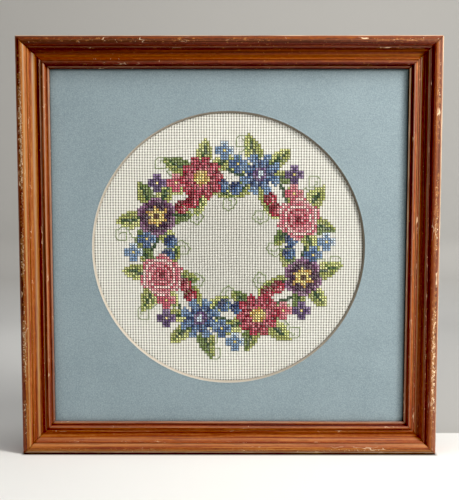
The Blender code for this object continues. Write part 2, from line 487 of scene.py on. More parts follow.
def stained_wood_finish():
    made = new_finish("stained varnished wood", Coat_Weight=0.12, Coat_Roughness=0.16,
                      Specular_IOR_Level=0.18, IOR=1.5)
    grain = attribute(made, "grain", "Vector")
    names = ("stain_and_shade", "figure", "knocks", "crevice", "golden_highlight", "rubbed_and_shine", "height")
    stain_and_shade, figure, knocks, crevice, golden_highlight, rubbed_and_shine, height = (attribute(made, name) for name in names)
    tone, pores = wood_tone(grain, stain_and_shade, figure)
    tone = blend(limits(crevice, 0.45, 0.95, 0.0, 0.35), tone, POOLED_STAIN)
    # Painted golden highlight, on the bands where the faces catch the light.
    tone = blend(golden_highlight, tone, tone * GOLDEN_HIGHLIGHT_GAIN)
    tone = blend(dry_mask(grain, knocks), tone, DRY_VARNISH)
    # Rubbed lines, with painted highlights where edges catch the light, and milky streaks along the grain that
    # are a painted sheen.
    rubbed_and_shine = rubbed_and_shine * limits(noise(grain * (45.0, 500.0, 1.0)), 0.3, 0.65, 0.55, 1.0)
    milky_sheen = limits(noise(grain * (6.0, 1150.0, 1.0), roughness=0.6), 0.60, 0.70, 0.0, 0.25)
    tone = blend(largest(rubbed_and_shine, milky_sheen * figure), tone, RUBBED_EDGE_AND_HIGHLIGHT)
    # Past one, a line is painted as pale as bare wood, partly wear and partly painted light.
    tone = blend(limits(rubbed_and_shine, 0.9, 1.6, 0.0, 0.9), tone, BARE_WOOD)
    scratches = scratch_lines(grain) * limits(knocks, 0.02, 0.20, 0.0, 0.8)
    chips = largest(chip_mask(grain, knocks), scratches)
    bare = limits(height, 0.0, 1.2 * MM, 1.0, 0.0)
    tone = blend(bare, blend(chips, tone, BARE_WOOD), blend(pores, *RAW_BACK))
    worn = limits(largest(chips, bare), 0.0, 1.0, 0.50, 0.85)
    relief = pores * 0.5 - chips * 1.2
    return coated(made, Base_Color=tone, Roughness=worn, Normal=bumped(relief, 0.35, 0.2 * MM))


stained_wood = stained_wood_finish()
print("finish:", stained_wood.name)

# %% [markdown]
# ## The moulded rails
# A framer buys moulding by the length and cuts four mitred pieces. The section is drawn once: an outer
# bead, a quirk and fillet, an ogee down into a trough, a small step, an inner bead and the thin lip that
# holds the mat. Five numbers go with each point: `inward` and `height` are its place in the section,
# `arris` is high where an edge stands out and gets knocked, `crevice` is high where stain and dirt gather,
# and `girth` is the way round the section, which lets the grain follow the surface. The sizes repeat the
# CAD model's, with finer curves between them.

# %% Draw the moulding's section
OUTER_SIZE = 284.0 * MM
RAIL_WIDTH = 21.5
RAIL_DEPTH = 22.0
REBATE_DEPTH = 11.5
REBATE_WALL = 16.4
FITTING_GAP = 0.3 * MM
HALF_SIZE = OUTER_SIZE / 2
BACK_Y = RAIL_DEPTH * MM / 2
BEAD_CENTRE = (4.3, 19.6)
BEAD_RADIUS = 2.4
CORNER_RADIUS = 0.45
CORNER_TOP = 18.76
COVE_PLACE = 12.9
COVE_RADIUS = 3.4
RISE_RADIUS = 2.2
TROUGH_HEIGHT = 14.7
INNER_BEAD_CENTRE = (18.0, 15.8)
INNER_BEAD_RADIUS = 1.05
LIP_HEIGHT = 14.0
LIP_EDGE_RADIUS = 0.7
# A bend counts as an edge by its turn for each millimetre, over no less than the shortest span.
SHORTEST_SPAN = 0.25
BEND_GAIN = 1.6


def arc(centre, radius, start, end, steps):
    turns = [radians(start + (end - start) * step / steps) for step in range(steps + 1)]
    return [(centre[0] + radius * cos(turn), centre[1] + radius * sin(turn)) for turn in turns]


def moulding_section():
    """The section as (inward, height) points in millimetres, once round from the middle of the back."""
    back = [(8.0, 0.0), (3.0, 0.0), (0.9, 0.0), (0.15, 0.15)]
    back += [(0.0, height) for height in (0.9, 5.0, 10.0, 15.0, 18.3)]
    corner = arc((CORNER_RADIUS, CORNER_TOP), CORNER_RADIUS, 180, 132, 5) + [(0.8, 19.68), (1.7, 20.49)]
    outer_bead = arc(BEAD_CENTRE, BEAD_RADIUS, 132, 40, 20) + [(6.8, 20.35), (7.3, 19.75)]
    quirk = [(7.46, 19.58), (7.6, 19.60), (7.82, 19.82)]
    fillet = [(7.95, 19.9), (8.2, 19.93), (8.42, 19.88), (8.56, 19.70), (9.1, 18.42)]
    cove = arc((COVE_PLACE, TROUGH_HEIGHT + COVE_RADIUS), COVE_RADIUS, 202, 270, 14)
    rise = arc((COVE_PLACE, TROUGH_HEIGHT + RISE_RADIUS), RISE_RADIUS, 270, 312, 6)[1:]
    step = [(14.76, 15.60), (14.9, 15.68), (15.2, 15.70), (15.45, 15.66), (15.62, 15.44), (15.82, 15.18),
            (15.95, 15.25)]
    inner_bead = arc(INNER_BEAD_CENTRE, INNER_BEAD_RADIUS, 135, 0, 16) + [(19.12, 15.0), (19.24, 14.2)]
    lip = [(19.42, 14.0), (20.2, 14.02)]
    lip += arc((RAIL_WIDTH - LIP_EDGE_RADIUS, LIP_HEIGHT - LIP_EDGE_RADIUS), LIP_EDGE_RADIUS, 90, -30, 8)
    rebate = [(20.9, 12.25), (20.4, 11.6), (20.1, REBATE_DEPTH), (18.5, REBATE_DEPTH)]
    rebate += [(REBATE_WALL, height) for height in (REBATE_DEPTH, 7.5, 3.0, 0.2)]
    rebate += [(REBATE_WALL - 0.2, 0.0), (12.5, 0.0)]
    return back + corner + outer_bead + quirk + fillet + cove + rise + step + inner_bead + lip + rebate


def section_mesh():
    """The section as a closed ring of edges, with its numbers on its points."""
    points = np.array(moulding_section())
    before = points - np.roll(points, 1, axis=0)
    after = np.roll(points, -1, axis=0) - points
    cross = before[:, 0] * after[:, 1] - before[:, 1] * after[:, 0]
    lengths = np.linalg.norm(after, axis=1)
    spans = np.maximum((lengths + np.roll(lengths, 1)) / 2, SHORTEST_SPAN)
    curve = np.arctan2(cross, (before * after).sum(1)) / spans
    for _ in range(2):
        curve = (np.roll(curve, 1) + 2 * curve + np.roll(curve, -1)) / 4
    mesh = bpy.data.meshes.new("moulding section")
    mesh.from_pydata([(x * MM, y * MM, 0.0) for x, y in points],
                     [(step, (step + 1) % len(points)) for step in range(len(points))], [])
    write_numbers(mesh, "inward", points[:, 0] * MM)
    write_numbers(mesh, "height", points[:, 1] * MM)
    write_numbers(mesh, "girth", np.cumsum(lengths) * MM)
    write_numbers(mesh, "arris", np.clip(-curve * BEND_GAIN, 0, 1))
    write_numbers(mesh, "crevice", np.clip(curve * BEND_GAIN, 0, 1))
    return mesh


print("section points:", len(moulding_section()))

# %% [markdown]
# The tree sweeps the section along a straight line and then places every point from its own numbers:
# how far along, how far inward and how high. Because the reach shrinks as a point lies further inward,
# both ends come out as mitres. A last step knocks small hollows into the arrises, as years of dusting and
# moving do. One tree makes all four rails, a quarter turn apart.

# %% Plan the rails
def rail_tree():
    tree, given = new_tree("moulded rail", "Half size, Mitre gap, Back, Quarter turn, Knock", Steps="Int",
                           Wood="Material")
    steps = store(even_points(tree, given["Steps"]), "along", parts(position(tree))[0])
    section = result(tree, "GeometryNodeMeshToCurve", {0: given["Geometry"]})
    outward = result(tree, "GeometryNodeFlipFaces", {0: swept(steps, section)})
    inward = named(tree, "inward")
    run = named(tree, "along") * (given["Half size"] - inward - given["Mitre gap"])
    turn = given["Quarter turn"]
    keys = {"Vector": combine(tree, run, given["Back"] - named(tree, "height"), inward), "Axis": (0, 1, 0),
            "Center": combine(tree, 0.0, 0.0, given["Half size"]), "Angle": turn * (-pi / 2)}
    turned = result(tree, "ShaderNodeVectorRotate", keys, rotation_type="AXIS_ANGLE")
    grain = combine(tree, run + turn * 0.37, named(tree, "girth"), turn * 0.11)
    rail = store(moved(outward, Position=turned), "grain", grain, "FLOAT_VECTOR")
    return end_tree(knocked(store(rail, "run", run), given["Knock"], grain), given["Wood"])


def knocked(rail, depth, grain):
    """Presses shallow hollows into the standing edges, fewer of them near the mitres."""
    hollow = limits(noise(grain * (110.0, 500.0, 900.0)), 0.60, 0.74)
    inner = limits(abs(named(rail.tree, "along")), 0.97, 1.0, 1.0, 0.0)
    press = hollow * named(rail.tree, "arris") * inner * (depth * -1.0)
    return moved(rail, Offset=result(rail.tree, "GeometryNodeInputNormal") * press)


rail_grower = rail_tree()
print("nodes in the rails' tree:", len(rail_grower.nodes))

# %% [markdown]
# Each rail has aged in its own way, and meets the light in its own way, and a noise alone can't say where. So
# short tables name the places of the section, from the outer corner to the lip, and say how deep the stain
# and the painted shade, how rubbed and highlighted and how golden each rail is there. The worn stretches say
# where along its length a rail was handled and knocked.

# %% Say where each rail is worn
SIDES = ("bottom", "right", "top", "left")
# A stretch is its middle along the rail, its half length, and how bad it is. A rail runs to the right along
# the bottom, up the right, to the left along the top and down the left.
WORN_STRETCHES = {
    "bottom": ((-0.110, 0.020, 0.45), (-0.060, 0.026, 0.50), (0.015, 0.030, 0.50), (0.085, 0.045, 0.60)),
    "right": ((-0.075, 0.062, 0.95), (0.020, 0.045, 0.65), (0.095, 0.040, 0.50)),
    "top": ((-0.112, 0.034, 0.45), (-0.015, 0.030, 0.28), (0.030, 0.015, 0.32), (0.085, 0.045, 0.28)),
    "left": ((-0.075, 0.065, 0.85), (0.005, 0.035, 0.65), (0.065, 0.040, 0.75), (0.115, 0.022, 0.50)),
}

# How deep the stain lies at each place of the section, with painted shade added where a rail's face turns
# from the light and taken off where it faces it, and a painted contact shadow at the bottom's outer corner,
# from thin and golden at 0 to nearly black at 1. The columns are the place, its distance inward in
# millimetres, then the bottom, right, top and left rails.
STAIN_AND_SHADE_PLACES = (
    ("outer corner", 0.4, 1.10, 0.25, 0.85, 0.60),
    ("bead's side", 1.6, 0.00, 0.90, 0.60, 0.88),
    ("bead's crown", 3.2, 0.24, 0.62, 0.78, 0.42),
    ("bead's slope", 4.6, 0.50, 0.50, 0.98, 0.30),
    ("bead's line", 5.4, 0.35, 0.56, 0.86, -0.20),
    ("bead's foot", 6.5, 0.10, 0.72, 0.86, 0.20),
    ("quirk", 7.6, -0.20, 1.30, 0.85, 0.00),
    ("fillet", 8.4, 0.58, 0.90, 1.30, 0.25),
    ("cove's top", 9.6, 0.20, 0.80, 0.64, 0.64),
    ("cove's slope", 11.0, 0.46, 0.86, 0.86, -0.15),
    ("cove's foot", 12.4, 0.18, 0.62, 0.45, 0.30),
    ("trough", 13.7, 0.56, 0.00, 0.48, 0.90),
    ("step's foot", 14.7, 0.38, 0.98, 0.48, 0.85),
    ("step", 15.5, 0.38, 0.05, 0.50, 0.35),
    ("inner quirk", 16.6, 0.56, 0.55, 0.60, 1.40),
    ("inner bead", 17.9, 0.30, 0.44, 0.90, 0.10),
    ("inner bead's foot", 19.4, 1.00, 0.95, 1.10, 0.62),
    ("lip", 20.4, 0.30, 0.40, 0.80, 0.45),
    ("lip's edge", 21.3, 0.55, 0.80, 1.30, 0.60),
)
# The lines turned milky by rubbing and by painted highlights on the edges that catch the light: the place,
# its distance inward and half its width in millimetres, then how far it is rubbed and lit on the bottom,
# right, top and left rails.
RUBBED_AND_HIGHLIGHT_LINES = (
    ("very edge", 0.1, 0.20, 0.00, 1.20, 1.60, 0.00),
    ("outer corner", 0.3, 0.50, 0.00, 1.00, 0.10, 0.60),
    ("bead's side", 1.5, 0.50, 2.00, 0.10, 0.00, 0.00),
    ("bead's crown", 3.2, 1.20, 0.10, 0.12, 0.00, 0.00),
    ("bead's line", 5.6, 0.42, 0.10, 0.00, 0.00, 0.62),
    ("bead's foot", 6.6, 0.45, 0.35, 0.00, 0.00, 0.00),
    ("quirk's edge", 7.6, 0.28, 0.60, 0.00, 0.42, 0.10),
    ("fillet's edge", 8.9, 0.30, 0.15, 1.00, 0.00, 0.05),
    ("cove's top", 9.9, 0.50, 0.35, 0.00, 0.05, 0.00),
    ("cove's slope", 10.7, 0.70, 0.00, 0.00, 0.00, 0.68),
    ("trough's rise", 13.6, 0.40, 0.00, 0.75, 0.05, 0.00),
    ("step", 15.6, 0.38, 0.15, 0.65, 0.12, 0.85),
    ("inner bead's side", 16.8, 0.40, 0.10, 0.00, 0.68, 0.00),
    ("inner bead", 18.2, 0.45, 0.50, 0.55, 0.00, 0.80),
    ("lip's shoulder", 20.0, 0.40, 0.00, 0.00, 0.80, 0.00),
    ("lip", 20.9, 0.50, 0.95, 1.40, 0.05, 0.85),
)
# The bands painted yellower as golden highlights where the faces catch the light, in the same columns.
GOLDEN_HIGHLIGHT_BANDS = (
    ("bead", 3.0, 2.2, 0.45, 0.70, 1.00, 0.20),
    ("cove's top", 9.6, 0.8, 0.00, 0.50, 0.80, 0.20),
    ("bead's line", 5.6, 0.6, 0.10, 0.00, 0.00, 0.60),
    ("cove's slope", 11.2, 1.1, 0.10, 0.30, 0.40, 0.60),
    ("cove's foot", 13.1, 0.8, 0.00, 0.40, 0.70, 0.00),
    ("step", 15.0, 0.7, 0.00, 0.00, 0.30, 0.00),
    ("inner bead's side", 16.8, 0.6, 0.00, 0.20, 0.80, 0.00),
)
# How much darker each rail is painted from one end to the other, as painted shade where less light
# reaches, how much more its light lines and dark ones differ as the light grows along it, which is painted
# light, how strong the streaks are, and how chipped the outer bead's ridge is.
SHADE_ALONG_RAIL = {"bottom": 0.0, "right": -0.05, "top": 0.10, "left": 0.05}
LIGHT_CONTRAST_ALONG_RAIL = {"bottom": 0.0, "right": 0.50, "top": 0.0, "left": -0.50}
FIGURE = {"bottom": 1.0, "right": 0.5, "top": 0.4, "left": 0.9}
RIDGE_CHIPS = {"bottom": 0.25, "right": 0.15, "top": 0.10, "left": 0.35}
MIDDLE_STAIN = 0.45
# The outer side, below this height, has an even stain and none of the face's rubbed lines.
OUTER_SIDE_TOP = 18.5 * MM
OUTER_SIDE_STAIN = 0.42
print("places named across a rail:", len(STAIN_AND_SHADE_PLACES))

# %% Mark and grow the four rails
# The outer bead in millimetres inward: how open it lies to knocks, then its ridge's middle and half width.
BEAD_OPENNESS = ((0.8, 2.0, 4.0, 5.4), (0.0, 1.0, 1.0, 0.0))
BEAD_RIDGE = (3.2, 0.8)
EVERYDAY_WEAR = 0.05
ARRIS_WEAR = 0.35
STRETCH_EDGE = 1.6


def band(inward, middle, half):
    """One along a line of the section, fading to nothing on both sides. The sizes are in millimetres."""
    return np.exp(-((inward / MM - middle) / half) ** 2)


def mark_knocks(mesh, side):
    """Stores how likely a knock is at each point: on the outer bead and the arrises of worn stretches."""
    run, inward, arris = (read_numbers(mesh, name) for name in ("run", "inward", "arris"))
    worn = np.full(len(run), EVERYDAY_WEAR)
    for middle, half, strength in WORN_STRETCHES[side]:
        near = np.clip(STRETCH_EDGE * (1 - np.abs(run - middle) / half), 0, 1)
        worn = np.maximum(worn, strength * near)
    outer_bead = np.interp(inward / MM, *BEAD_OPENNESS)
    ridge = RIDGE_CHIPS[side] * band(inward, *BEAD_RIDGE)
    exposed = np.maximum(outer_bead, ARRIS_WEAR * arris * (inward > 2.0 * MM))
    write_numbers(mesh, "knocks", worn * (exposed + ridge))


def mark_places(mesh, column, side):
    """Stores the depth of the stain and painted shade, its streaks, and the rubbed lines with painted
    highlights and the painted golden bands, from this rail's columns.
    """
    run, inward, height = (read_numbers(mesh, name) for name in ("run", "inward", "height"))
    along = run / HALF_SIZE
    # Painted light along the rail: more contrast where more light falls, and painted shade added further from
    # the light.
    contrast = 1 + LIGHT_CONTRAST_ALONG_RAIL[side] * along
    face = (height > OUTER_SIDE_TOP) | (inward > MM)
    places, depths = zip(*((row[1], row[2 + column]) for row in STAIN_AND_SHADE_PLACES))
    depth = np.interp(inward / MM, places, depths)
    depth = MIDDLE_STAIN + (depth - MIDDLE_STAIN) * contrast + SHADE_ALONG_RAIL[side] * along
    rubbed_and_shine, golden_highlight = (sum(row[3 + column] * band(inward, row[1], row[2]) for row in table)
                      for table in (RUBBED_AND_HIGHLIGHT_LINES, GOLDEN_HIGHLIGHT_BANDS))
    write_numbers(mesh, "stain_and_shade", np.where(face, depth, OUTER_SIDE_STAIN))
    write_numbers(mesh, "figure", np.full(len(run), FIGURE[side]))
    write_numbers(mesh, "golden_highlight", golden_highlight)
    write_numbers(mesh, "rubbed_and_shine", np.clip(rubbed_and_shine * contrast, 0, 2) * face)


base = section_mesh()
for turn, side in enumerate(SIDES):
    rail = grown("moulded_rail_" + side, rail_grower, base,
                 {"Half size": HALF_SIZE, "Mitre gap": FITTING_GAP / sqrt(2), "Back": BACK_Y,
                  "Quarter turn": float(turn), "Steps": 200, "Knock": 0.22 * MM, "Wood": stained_wood})
    mark_places(rail.data, turn, side)
    mark_knocks(rail.data, side)
    rail.data.shade_smooth()
    rail.data.set_sharp_from_angle(angle=radians(45))
    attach(rail, "root")
    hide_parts("frame_rail_" + side)

# %% [markdown]
# ## The window mat
# A mat frames the cloth and keeps the rails off it. It is a blue-grey board with a tan core, and the
# cutter's blade leans outward, so the round window shows a band of core that slopes down to the cloth.
# The window is a ring of points, a little off centre, bridged out to the square edge that hides in the
# rebate. The blade turned up a burr round the window, which catches light as a real cut edge does. The
# card's paper is pebbled. Painted shade darkens the card under the lip, most of all at the top and the
# right, and the core of the cut is painted paler where it faces the light and darker where it is shaded.

# %% Mix the mat's card and core
WINDOW_CENTRE = (-0.5 * MM, HALF_SIZE - 0.55 * MM)
WINDOW_RADIUS = 93.2 * MM
MAT_FRONT_Y = BACK_Y - (REBATE_DEPTH * MM - FITTING_GAP)
MAT_THICKNESS = 1.4 * MM
BURR = 0.17 * MM
SHEET_HALF = HALF_SIZE - REBATE_WALL * MM - FITTING_GAP
SIGHT_HALF = HALF_SIZE - RAIL_WIDTH * MM
# Painted shade under the lip: the axis and sign of each side, then how far it reaches and how dark it is.
LIP_SHADE = {"top": (2, 1.0, 2.6 * MM, 0.85), "right": (0, 1.0, 2.2 * MM, 0.92),
         "left": (0, -1.0, 0.9 * MM, 0.50), "bottom": (2, -1.0, 0.8 * MM, 0.10),
         "soft top": (2, 1.0, 20.0 * MM, 0.20)}
# The core is painted pale at the lower left of the window, where the cut faces the light, and painted dark at
# the upper right, where it is shaded.
LIT_SIDE = (-0.819, 0.0, -0.574)
SHADED_GAIN = 0.50
LIT_GAIN = 1.44


def mat_card_finish():
    made = new_finish("blue-grey mat card", Roughness=0.70, Specular_IOR_Level=0.35)
    place = object_place(made)
    cloudy = noise(place, 28.0, 3.0)
    pebble = noise(place, 1100.0, 2.0, 0.6)
    specks = noise(place, 2000.0)
    tone = blend(limits(cloudy, 0.3, 0.7), (0.230, 0.302, 0.335), (0.270, 0.347, 0.382))
    tone = blend(limits(pebble, 0.44, 0.62, 0.0, 0.55), tone, (0.335, 0.418, 0.454))
    tone = blend(limits(specks, 0.54, 0.68, 0.0, 0.60), tone, (0.160, 0.215, 0.240))
    beyond = parts(place - (0.0, 0.0, HALF_SIZE))
    shades = [limits(beyond[axis] * sign, SIGHT_HALF - reach, SIGHT_HALF) ** 1.6 * depth
              for axis, sign, reach, depth in LIP_SHADE.values()]
    # Painted shade: the card darkens towards the lip, where the rails shade it.
    tone = blend(largest(*shades), tone, (0.03, 0.026, 0.022))
    return coated(made, Base_Color=tone, Normal=bumped(pebble + specks, 0.55, 0.16 * MM))


def mat_core_finish():
    made = new_finish("tan mat core", Roughness=0.85, Specular_IOR_Level=0.25)
    place = object_place(made)
    layers = noise(place * (400.0, 9000.0, 400.0), detail=3.0)
    offset = place - (WINDOW_CENTRE[0], 0.0, WINDOW_CENTRE[1])
    toward = offset.maths("DOT_PRODUCT", LIT_SIDE, output="Value")
    # Painted light and shade round the window: paler towards the lower left, darker towards the upper right.
    painted_light_gain = limits(toward, -WINDOW_RADIUS, WINDOW_RADIUS, SHADED_GAIN, LIT_GAIN)
    tone = blend(layers, (0.31, 0.27, 0.22), (0.41, 0.375, 0.315)) * painted_light_gain
    return coated(made, Base_Color=tone, Normal=bumped(layers, 0.4, 0.1 * MM))


mat_finishes = (mat_card_finish(), mat_core_finish())
print("finishes:", [item.name for item in mat_finishes])

# %% Cut the mat
WINDOW_STEPS = 288
# The cut from the paper's face to the cloth: how much wider than the window, and how much deeper.
CUT = ((0.95 * MM, 0.0), (0.70 * MM, -0.03 * MM), (0.28 * MM, -BURR), (0.06 * MM, -BURR), (0.0, -0.04 * MM),
       (-0.60 * MM, 0.65 * MM), (-MAT_THICKNESS, MAT_THICKNESS))
CORE_RINGS = (5, 6)


def ring_point(angle, radius):
    return (radius * cos(radians(angle)), radius * sin(radians(angle)))


def mat_points(reach, y):
    """A ring of points at a distance from the window's centre, or round the square edge."""
    for step in range(WINDOW_STEPS):
        across, up = ring_point(360 * step / WINDOW_STEPS, 1.0)
        if reach == "square":
            stretch = SHEET_HALF / max(abs(across), abs(up))
            yield (stretch * across, y, HALF_SIZE + stretch * up)
        else:
            yield (WINDOW_CENTRE[0] + reach * across, y, WINDOW_CENTRE[1] + reach * up)


def cut_mat():
    rings = [("square", MAT_FRONT_Y)]
    rings += [(WINDOW_RADIUS + wider, MAT_FRONT_Y + deeper) for wider, deeper in CUT]
    rings += [("square", MAT_FRONT_Y + MAT_THICKNESS)]
    builder = bmesh.new()
    loops = [[builder.verts.new(point) for point in mat_points(*ring)] for ring in rings]
    for number, first in enumerate(loops):
        second = loops[(number + 1) % len(loops)]
        for step in range(WINDOW_STEPS):
            after = (step + 1) % WINDOW_STEPS
            face = builder.faces.new((first[step], first[after], second[after], second[step]))
            face.material_index = int(number in CORE_RINGS)
            face.smooth = 0 < number < len(loops) - 2
    bmesh.ops.recalc_face_normals(builder, faces=builder.faces)
    mesh = bpy.data.meshes.new("window_mat")
    builder.to_mesh(mesh)
    return mesh


mat = in_scene("window_mat", cut_mat())
for finish in mat_finishes:
    mat.data.materials.append(finish)
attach(mat, "root")
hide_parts("mat_board")
print("mat faces:", len(mat.data.polygons), "window across, millimetres:", 2 * WINDOW_RADIUS / MM)

# %% [markdown]
# ## The Aida cloth
# Aida is woven in small square blocks with a hole at each corner, 14 blocks to the inch, and the cloth on
# this one measures a little over that. A grid with three faces to a block is enough if its lines are
# pulled towards the grooves: the block's top stays flat, and the grooves and holes dip. Hand tension makes
# the rows drift a little, and the same drift will move the stitches, so it is one shared function.

# %% Plan the weave
PITCH = 1.83 * MM
CLOTH_FRONT_Y = MAT_FRONT_Y + MAT_THICKNESS + FITTING_GAP
CLOTH_THICKNESS = 1.0 * MM
WINDOW_MIDDLE = (WINDOW_CENTRE[0], CLOTH_FRONT_Y, WINDOW_CENTRE[1])
WOVEN = {"Blocks": 106, "Pitch": PITCH, "Radius": 96.0 * MM, "Groove": 0.13 * MM, "Hole": 0.35 * MM,
         "Middle": WINDOW_MIDDLE}
GROOVE_PULL = -0.127


def drift(place):
    """The slow sideways wander of the threads, and a very shallow swell, as an offset in metres."""
    wander = noise(place, 19.0, 1.0, output=1)
    return (wander - (0.5, 0.0, 0.5)) * (1.5 * MM, 0.25 * MM, 1.5 * MM)


def dip(phase, power):
    """One in a groove, falling to nothing on top of a block."""
    return ((phase.maths("COSINE") + 1.0) * 0.5) ** power


def weave_tree():
    tree, given = new_tree("Aida weave", "Pitch, Radius, Groove, Hole", Blocks="Int", Middle="Vector",
                           Cloth="Material")
    size = given["Blocks"] * given["Pitch"]
    lines = given["Blocks"] * 3.0 + 1.0
    keys = {"Size X": size, "Size Y": size, "Vertices X": lines, "Vertices Y": lines}
    grid = result(tree, "GeometryNodeMeshGrid", keys)
    place = position(tree)
    keys = {0: place.maths("LENGTH", output="Value"), 1: given["Radius"]}
    outside = result(tree, "FunctionNodeCompare", keys, operation="GREATER_THAN")
    disc = result(tree, "GeometryNodeDeleteGeometry", {0: grid, 1: outside}, domain="FACE")
    flat = parts(place)[:2]
    phases = [part / given["Pitch"] * (2 * pi) for part in flat]
    disc = store(disc, "weave", combine(tree, *phases, 0.0), "FLOAT_VECTOR")
    pull = given["Pitch"] * GROOVE_PULL
    x, z = (phase.maths("SINE") * pull + part for part, phase in zip(flat, phases))
    groove = largest(*(dip(phase, 2.0) for phase in phases))
    hole = dip(phases[0], 3.0) * dip(phases[1], 3.0)
    woven = combine(tree, x, hole * given["Hole"] + groove * given["Groove"], z) + given["Middle"]
    return end_tree(moved(disc, Position=woven + drift(woven)), given["Cloth"])


print("cloth front, millimetres behind the middle plane:", CLOTH_FRONT_Y / MM)

# %% [markdown]
# The threads themselves are finer than the grid: four to a block each way. They are bump and a little
# colour, read from the `weave` attribute that the tree writes, so they follow every row. The holes are
# dark because the board behind shows through them, and the grooves between the blocks get painted shade.
# The cloth is greyer in the middle of the ring, painted shade darkens it towards its right side, and
# painted shade darkens it where the crossed legs shade it.

# %% Weave and finish the sheet
def aida_finish():
    made = new_finish("cream Aida cotton", Roughness=0.95, Specular_IOR_Level=0.15, Sheen_Weight=0.15)
    weave = attribute(made, "weave", "Vector")
    across, up, _ = parts(weave)
    holes = dip(across, 1.2) * dip(up, 1.0)
    grooves = largest(dip(across, 1.4), dip(up, 1.6) * 0.60)
    basket = (across * 4.0).maths("SINE") * (up * 4.0).maths("SINE")
    slubs = noise(weave * (0.8, 0.12, 1.0), detail=3.0)
    place = object_place(made)
    aged = noise(place, 22.0, 3.0)
    ring_middle = limits((place - WINDOW_MIDDLE).maths("LENGTH", output="Value"), 0.030, 0.062, 1.0, 0.0)
    right = limits(parts(place)[0], 0.0, 0.085, 0.0, 0.26)
    tone = blend(limits(slubs, 0.35, 0.7), (0.88, 0.875, 0.80), (0.98, 0.975, 0.92))
    tone = blend(limits(aged, 0.4, 0.75, 0.0, 0.35), tone, (0.80, 0.77, 0.68))
    # Greyer in the middle of the ring, and painted shade towards the right side.
    tone = blend(largest(ring_middle * 0.30, right), tone, (0.45, 0.455, 0.42))
    # Painted shade in the grooves between the blocks, deeper in the middle of the ring.
    tone = blend(grooves * (ring_middle * 0.28 + 0.70), tone, (0.26, 0.255, 0.215))
    tone = blend(limits(holes, 0.04, 0.50, 0.0, 0.80), tone, (0.05, 0.048, 0.040))
    # Painted shade on the cloth between the legs of the crosses.
    tone = blend(attribute(made, "covered") * 0.75, tone, (0.05, 0.045, 0.035))
    return coated(made, Base_Color=tone, Normal=bumped(basket + slubs, 0.5, 0.12 * MM))


def close_sheet(mesh):
    """Fills from the woven disc to the square edge, then folds the square back into a closed sheet."""
    builder = bmesh.new()
    builder.from_mesh(mesh)
    rim = [edge for edge in builder.edges if edge.is_boundary]
    corners = ((SHEET_HALF, SHEET_HALF), (-SHEET_HALF, SHEET_HALF), (-SHEET_HALF, -SHEET_HALF),
               (SHEET_HALF, -SHEET_HALF))
    front, back = ([builder.verts.new((x, y, HALF_SIZE + z)) for x, z in corners]
                   for y in (CLOTH_FRONT_Y, CLOTH_FRONT_Y + CLOTH_THICKNESS))
    outline = [builder.edges.new((front[step], front[(step + 1) % 4])) for step in range(4)]
    bmesh.ops.triangle_fill(builder, use_beauty=True, use_dissolve=False, edges=rim + outline,
                            normal=(0, -1, 0))
    for step in range(4):
        after = (step + 1) % 4
        builder.faces.new((front[step], front[after], back[after], back[step]))
    builder.faces.new(back)
    bmesh.ops.recalc_face_normals(builder, faces=builder.faces)
    open_edges = sum(edge.is_boundary or not edge.is_manifold for edge in builder.edges)
    builder.to_mesh(mesh)
    print("open edges on the cloth:", open_edges)


blank = bpy.data.meshes.new("blank")
cloth = grown("aida_cloth", weave_tree(), blank, {**WOVEN, "Cloth": aida_finish()})
close_sheet(cloth.data)
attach(cloth, "root")
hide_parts("stitched_cloth")

# %% [markdown]
# ## The flower ring's chart
# A stitcher works from a chart: a grid of squares, each with a floss colour. This ring is drawn by rules
# instead of by hand. A motif is a small function that answers one question, which colour lies at this
# distance across and along, and `lay_motif` asks it for every square near the motif's place. Whatever is
# laid later covers what was laid before, so the leaves go down first and the flower heads last.

# %% Choose the floss and lay motifs on the chart
FLOSS = {
    "dark green": (56, 84, 58), "leaf green": (112, 132, 76), "moss": (162, 168, 98),
    "lime": (196, 200, 134), "navy": (44, 60, 104), "blue": (72, 102, 146), "sky": (122, 150, 182),
    "ice": (194, 208, 218), "wine": (124, 30, 50), "crimson": (168, 48, 70), "rose": (196, 98, 116),
    "pink": (218, 150, 156), "blush": (232, 202, 196), "gold": (186, 146, 76), "yellow": (222, 204, 130),
    "brown": (92, 60, 42), "plum": (66, 36, 68), "grape": (102, 60, 94), "mauve": (146, 108, 142),
    "violet": (90, 68, 114), "lilac": (136, 114, 154),
}
chart = {}


def lay_motif(bunch, centre, angle, reach, colour_at):
    """Asks a motif for each square near its centre. The bunch is the piece that the stitches will join."""
    turn = radians(angle)
    near = range(-ceil(reach), ceil(reach) + 1)
    for column in (round(centre[0]) + step for step in near):
        for row in (round(centre[1]) + step for step in near):
            x = column - centre[0]
            y = row - centre[1]
            colour = colour_at(y * cos(turn) - x * sin(turn), x * cos(turn) + y * sin(turn))
            if colour:
                chart[(column, row)] = (colour, bunch)


print("floss colours:", len(FLOSS))

# %% Draw the flower heads
def petals(across, along, count):
    """The distance from the heart, and one along the middle of each petal, falling to nothing between."""
    return hypot(across, along), abs(cos(count / 2 * atan2(across, along)))


def rosette(across, along):
    """A full garden rose from above: petals wound round a tight heart."""
    distance = hypot(across, along)
    angle = atan2(across, along)
    if distance > 8.4 * (0.91 + 0.09 * cos(6 * angle)):
        return None
    if distance < 1.2:
        return "wine"
    turn = (distance / 2.35 - angle / (2 * pi)) % 1.0
    inner = distance < 4.2
    if turn < 0.30:
        return "crimson" if inner else "rose"
    if turn < 0.62:
        return "rose" if inner else "pink"
    return "pink" if inner else "blush"


